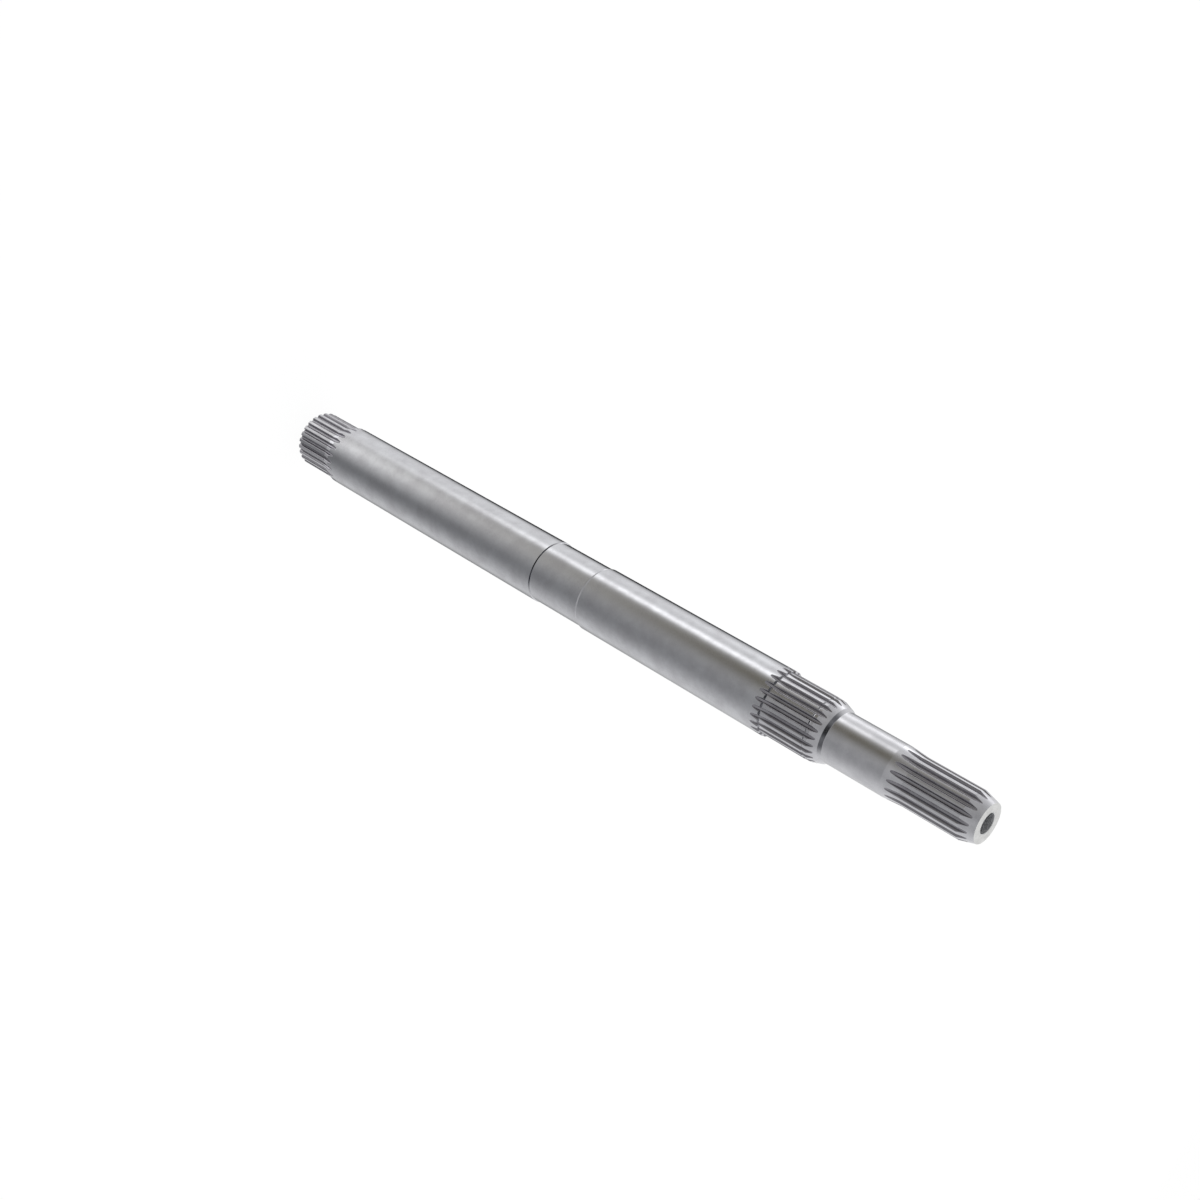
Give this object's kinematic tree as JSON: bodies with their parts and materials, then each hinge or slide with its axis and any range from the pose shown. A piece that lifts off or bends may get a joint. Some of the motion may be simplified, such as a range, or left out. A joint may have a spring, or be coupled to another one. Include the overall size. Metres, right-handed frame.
{
  "type": "splined shaft",
  "caption": "Turned steel drive shaft with involute splines at both ends and near the neck, ground bearing seats and a blind bore in one end.",
  "frame": {"origin": "centre of the flat end face of the drive spline", "axes": "+Z along the shaft's axis, from the drive end to the bored pilot end; +X through a space of the drive spline"},
  "size_m": [0.03, 0.03, 0.4083],
  "materials": {
    "ground_steel": "ground and bright"
  },
  "bodies": {
    "root": {"splined_shaft": "ground_steel"}
  },
  "joints": []
}
